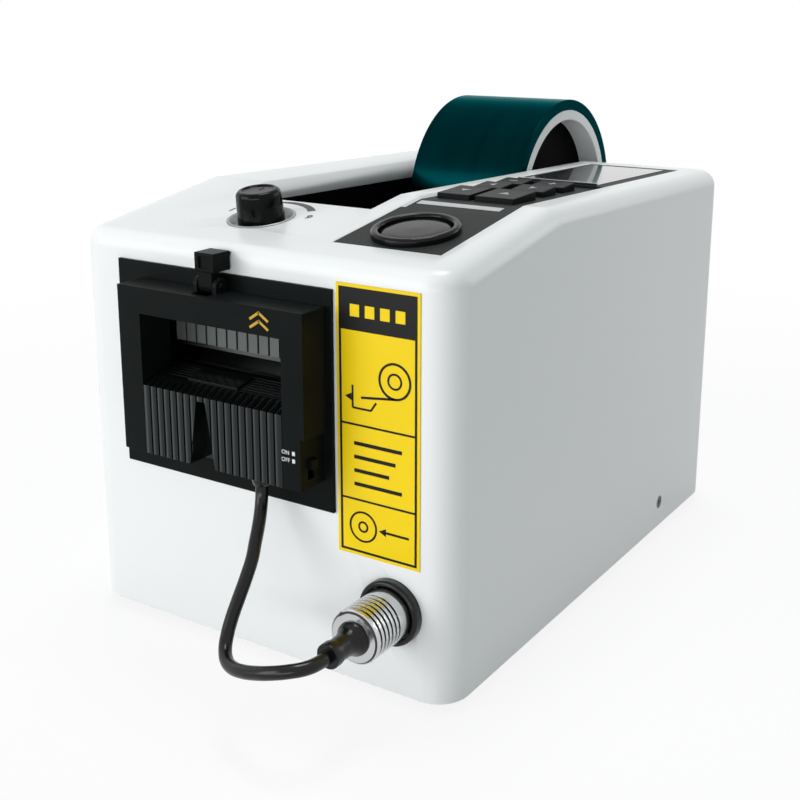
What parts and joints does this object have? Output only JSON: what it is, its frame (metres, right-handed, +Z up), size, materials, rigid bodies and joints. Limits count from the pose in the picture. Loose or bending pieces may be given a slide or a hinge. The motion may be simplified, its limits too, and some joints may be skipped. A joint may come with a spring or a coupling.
{
  "type": "electric tape dispenser",
  "caption": "Desktop electric tape dispenser with a sloped case, an open tape bay and roll, a corded cutter unit on the front, a selector knob and a keypad panel.",
  "frame": {"origin": "middle of the footprint of everything but the cutter's lead and its plug, on the table top under the rubber feet", "axes": "+X to the user's right, +Y to the rear along the case, +Z up"},
  "size_m": [0.145, 0.2882, 0.1658],
  "materials": {
    "case_white": "satin",
    "base_grey": "satin",
    "black_plastic": "satin",
    "table_plastic": "satin",
    "panel_grey": "satin",
    "gloss_black": "gloss",
    "steel": "brushed",
    "chrome_metal": "polished",
    "brass_metal": "satin",
    "rubber_black": "matt",
    "rubber_grey": "matt",
    "film_teal": "gloss",
    "core_grey": "matt",
    "gear_ivory": "satin",
    "board_green": "satin",
    "tinted_window": "gloss",
    "dial_silver": "brushed",
    "decal_yellow": "satin"
  },
  "bodies": {
    "case": {"base_plate": "base_grey", "feet": "rubber_black", "base_screws": "steel", "case_shell": "case_white", "side_screws": "steel", "bay_tray": "black_plastic", "hub_axle": "steel", "guide_shaft": "steel", "cutter_housing": "black_plastic", "exit_table": "table_plastic", "sensor_window": "gloss_black", "fixed_blade": "steel", "presser_comb": "dial_silver", "motor_bracket": "steel", "feed_motor": "steel", "cutter_bracket": "steel", "cutter_motor": "steel", "latch_pin": "black_plastic", "cable_gland": "rubber_black", "cable": "rubber_black", "plug_shell": "chrome_metal", "plug_boot": "rubber_black", "socket_bezel": "rubber_black", "socket_insert": "black_plastic", "control_panel": "panel_grey", "display_window": "tinted_window", "display_module": "gloss_black", "control_board": "board_green", "button_ring": "gloss_black", "button_switch": "black_plastic", "dial_plate": "dial_silver", "selector_pot": "steel", "dc_inlet": "black_plastic", "rocker_bezel": "black_plastic", "front_decal": "decal_yellow"},
    "tape_roll": {"tape_hub": "black_plastic", "tape_core": "core_grey", "tape_winding": "film_teal"},
    "guide": {"guide_roller": "black_plastic"},
    "feed": {"feed_shaft": "steel", "feed_roller": "rubber_grey", "feed_gear": "gear_ivory"},
    "pinch": {"pinch_shaft": "steel", "pinch_roller": "rubber_grey"},
    "pinion": {"motor_pinion": "brass_metal"},
    "blade": {"blade_carrier": "steel", "moving_blade": "steel"},
    "crank": {"crank": "brass_metal"},
    "latch": {"latch_lever": "black_plastic"},
    "switch": {"slide_switch": "black_plastic"},
    "button": {"round_button": "gloss_black"},
    "knob": {"selector_knob": "black_plastic"},
    "rocker": {"power_rocker": "gloss_black"},
    "key_1_cap": {"key_1": "gloss_black"},
    "key_2_cap": {"key_2": "gloss_black"},
    "key_3_cap": {"key_3": "gloss_black"},
    "key_4_cap": {"key_4": "gloss_black"},
    "key_5_cap": {"key_5": "gloss_black"},
    "key_6_cap": {"key_6": "gloss_black"}
  },
  "joints": [
    {"name": "roll_spin", "type": "hinge", "parent": "case", "child": "tape_roll", "pos_m": [-0.015, 0.0826, 0.1215], "axis": [1, 0, 0], "continuous": true},
    {"name": "guide_spin", "type": "hinge", "parent": "case", "child": "guide", "pos_m": [-0.015, -0.0474, 0.0869], "axis": [1, 0, 0], "continuous": true},
    {"name": "feed_spin", "type": "hinge", "parent": "case", "child": "feed", "pos_m": [-0.0075, -0.0839, 0.0844], "axis": [1, 0, 0], "continuous": true},
    {"name": "pinch_spin", "type": "hinge", "parent": "case", "child": "pinch", "pos_m": [-0.0075, -0.0839, 0.1013], "axis": [1, 0, 0], "continuous": true},
    {"name": "pinion_spin", "type": "hinge", "parent": "case", "child": "pinion", "pos_m": [0.022, -0.07196, 0.09905], "axis": [1, 0, 0], "continuous": true},
    {"name": "blade_slide", "type": "slide", "parent": "case", "child": "blade", "axis": [0, 0, -1], "range_m": [0, 0.006]},
    {"name": "crank_turn", "type": "hinge", "parent": "case", "child": "crank", "pos_m": [0.0128, -0.0999, 0.045], "axis": [0, 1, 0], "range_deg": [0, 60]},
    {"name": "latch_tip", "type": "hinge", "parent": "case", "child": "latch", "pos_m": [-0.0096, -0.1194, 0.1221], "axis": [1, 0, 0], "range_deg": [0, 25], "stiffness_Nm_per_rad": 0.05},
    {"name": "switch_slide", "type": "slide", "parent": "case", "child": "switch", "axis": [0, 0, -1], "range_m": [0, 0.003]},
    {"name": "button_press", "type": "slide", "parent": "case", "child": "button", "axis": [0, 0.1532, -0.9882], "range_m": [0, 0.002], "stiffness_N_per_m": 600},
    {"name": "knob_turn", "type": "hinge", "parent": "case", "child": "knob", "pos_m": [-0.0168, -0.08583, 0.13735], "axis": [0, -0.1532, 0.9882], "range_deg": [-135, 135]},
    {"name": "rocker_tip", "type": "hinge", "parent": "case", "child": "rocker", "pos_m": [0.045, 0.0941, 0.073], "axis": [1, 0, 0], "range_deg": [-20, 0]},
    {"name": "key_1_press", "type": "slide", "parent": "case", "child": "key_1_cap", "axis": [0, -0.0237, -0.9997], "range_m": [0, 0.0012], "stiffness_N_per_m": 600},
    {"name": "key_2_press", "type": "slide", "parent": "case", "child": "key_2_cap", "axis": [0, -0.0237, -0.9997], "range_m": [0, 0.0012], "stiffness_N_per_m": 600},
    {"name": "key_3_press", "type": "slide", "parent": "case", "child": "key_3_cap", "axis": [0, -0.0237, -0.9997], "range_m": [0, 0.0012], "stiffness_N_per_m": 600},
    {"name": "key_4_press", "type": "slide", "parent": "case", "child": "key_4_cap", "axis": [0, -0.0237, -0.9997], "range_m": [0, 0.0012], "stiffness_N_per_m": 600},
    {"name": "key_5_press", "type": "slide", "parent": "case", "child": "key_5_cap", "axis": [0, -0.0237, -0.9997], "range_m": [0, 0.0012], "stiffness_N_per_m": 600},
    {"name": "key_6_press", "type": "slide", "parent": "case", "child": "key_6_cap", "axis": [0, -0.0237, -0.9997], "range_m": [0, 0.0012], "stiffness_N_per_m": 600}
  ],
  "couplings": [
    {"joint": "pinch_spin", "follows": "feed_spin", "ratio": -1.2},
    {"joint": "pinion_spin", "follows": "feed_spin", "ratio": -1.7647},
    {"joint": "crank_turn", "follows": "blade_slide", "rad_per_m": 174.53}
  ]
}
